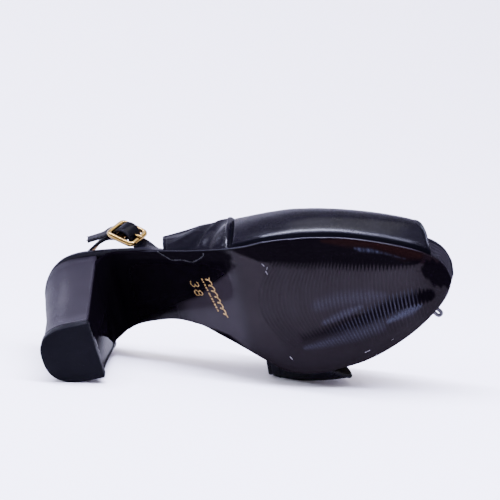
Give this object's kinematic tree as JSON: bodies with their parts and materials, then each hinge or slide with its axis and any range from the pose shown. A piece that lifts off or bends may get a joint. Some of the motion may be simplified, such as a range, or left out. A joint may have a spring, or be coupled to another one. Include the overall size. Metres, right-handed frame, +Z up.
{
  "type": "slingback heeled sandal",
  "caption": "Black leather open-toe slingback sandal for the right foot, with a tall block heel, a thin platform and a small gold buckle, lying on its inner side.",
  "frame": {"origin": "on the floor under the middle of the shoe's bounding box, as it lies on its inner side", "axes": "+X runs from heel to toe, +Y from the sole towards the top of the shoe, +Z up from the floor, towards the outer side of the shoe"},
  "size_m": [0.2254, 0.1164, 0.0944],
  "materials": {
    "black_leather": "smooth black leather with a satin finish",
    "patent_sole": "mirror-gloss black sole with fine ribs under the forefoot",
    "lift_rubber": "matt black heel rubber",
    "gilt_metal": "polished gold plate",
    "nickel_metal": "polished nickel wire"
  },
  "bodies": {
    "root": {"top_lift": "lift_rubber", "heel_block": "black_leather", "outsole": "patent_sole", "platform": "black_leather", "footbed": "black_leather", "upper": "black_leather", "sling_front": "black_leather", "sling_back": "black_leather", "buckle_frame": "gilt_metal", "buckle_prong": "gilt_metal", "toe_trim": "nickel_metal"}
  },
  "joints": []
}
